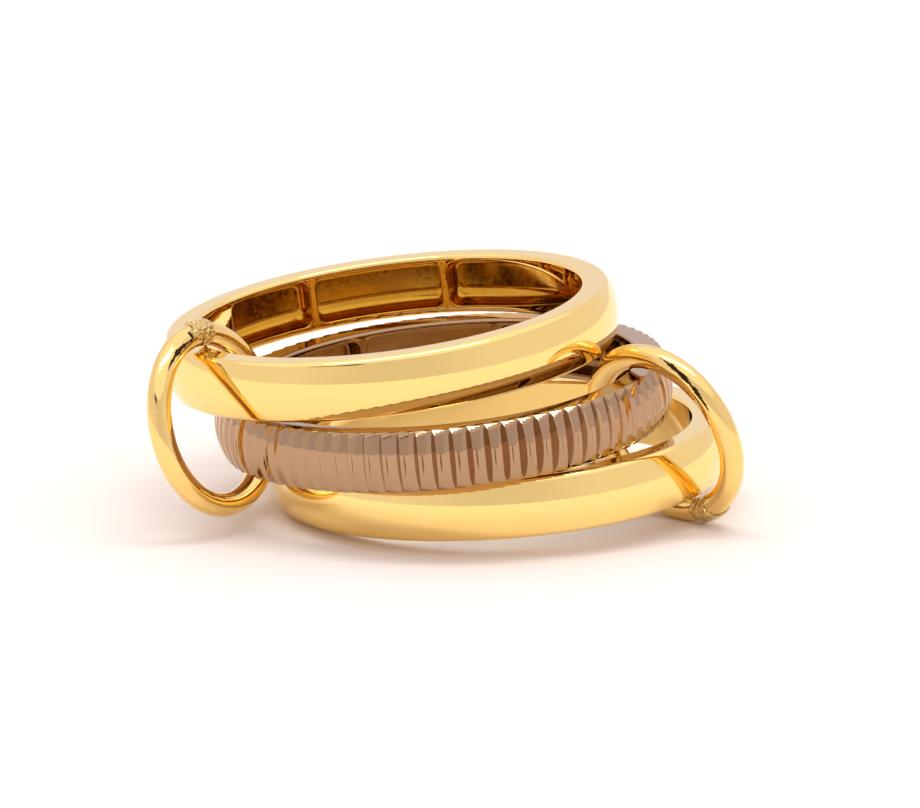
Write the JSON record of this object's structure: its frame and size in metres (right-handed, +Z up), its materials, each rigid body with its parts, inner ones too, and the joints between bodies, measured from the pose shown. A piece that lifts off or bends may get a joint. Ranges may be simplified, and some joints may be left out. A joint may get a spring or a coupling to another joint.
{
  "type": "interlocking ring",
  "caption": "Finger ring of domed polished bands, one fluted and rose toned, held side by side by round links, lying on its side.",
  "frame": {"origin": "on the surface the ring lies on, under the middle of its box", "axes": "+Z up, close to the axes of the bands; +X from the left link to the right link; +Y away from the viewer"},
  "size_m": [0.026, 0.0218, 0.0101],
  "materials": {
    "yellow_gold": "mirror polish",
    "rose_plate": "plated and polished, fluted outside",
    "link_gold": "polished wire with a rough solder joint"
  },
  "bodies": {
    "root": {"top_band": "yellow_gold", "middle_band": "rose_plate", "bottom_band": "yellow_gold", "left_link": "link_gold", "right_link": "link_gold"}
  },
  "joints": []
}
